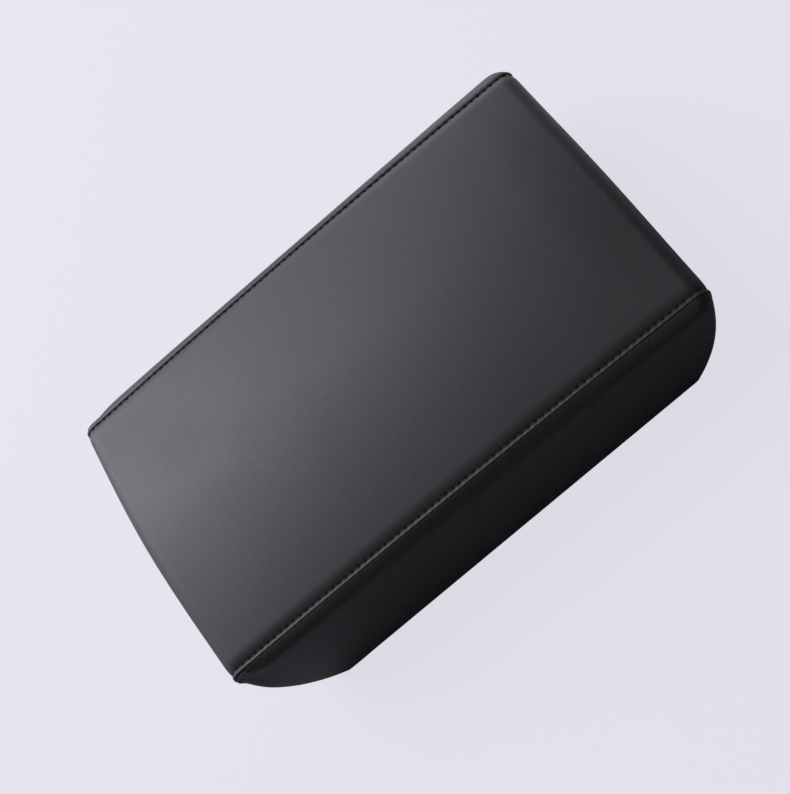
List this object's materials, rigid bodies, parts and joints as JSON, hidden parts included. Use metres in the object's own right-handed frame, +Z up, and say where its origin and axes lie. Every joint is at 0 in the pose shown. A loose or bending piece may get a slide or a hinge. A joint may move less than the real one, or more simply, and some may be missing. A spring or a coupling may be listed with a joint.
{
  "type": "console armrest cover",
  "caption": "Padded leather slip-over cover for the lid of a car's centre console armrest, hollow and open underneath.",
  "frame": {"origin": "middle of the hem's plane, on which the cover rests, under the middle of its length and width", "axes": "+X towards the front end, +Y towards the left side, +Z up out of the crowned top"},
  "size_m": [0.3019, 0.1846, 0.0875],
  "materials": {
    "cover_leather": "satin",
    "foam": "matte",
    "knit_lining": "matte"
  },
  "bodies": {
    "root": {"top_panel": "cover_leather", "side_panel_left": "cover_leather", "side_panel_right": "cover_leather", "top_pad": "foam", "side_pad_left": "foam", "side_pad_right": "foam", "lining_top": "knit_lining", "lining_left": "knit_lining", "lining_right": "knit_lining"}
  },
  "joints": []
}
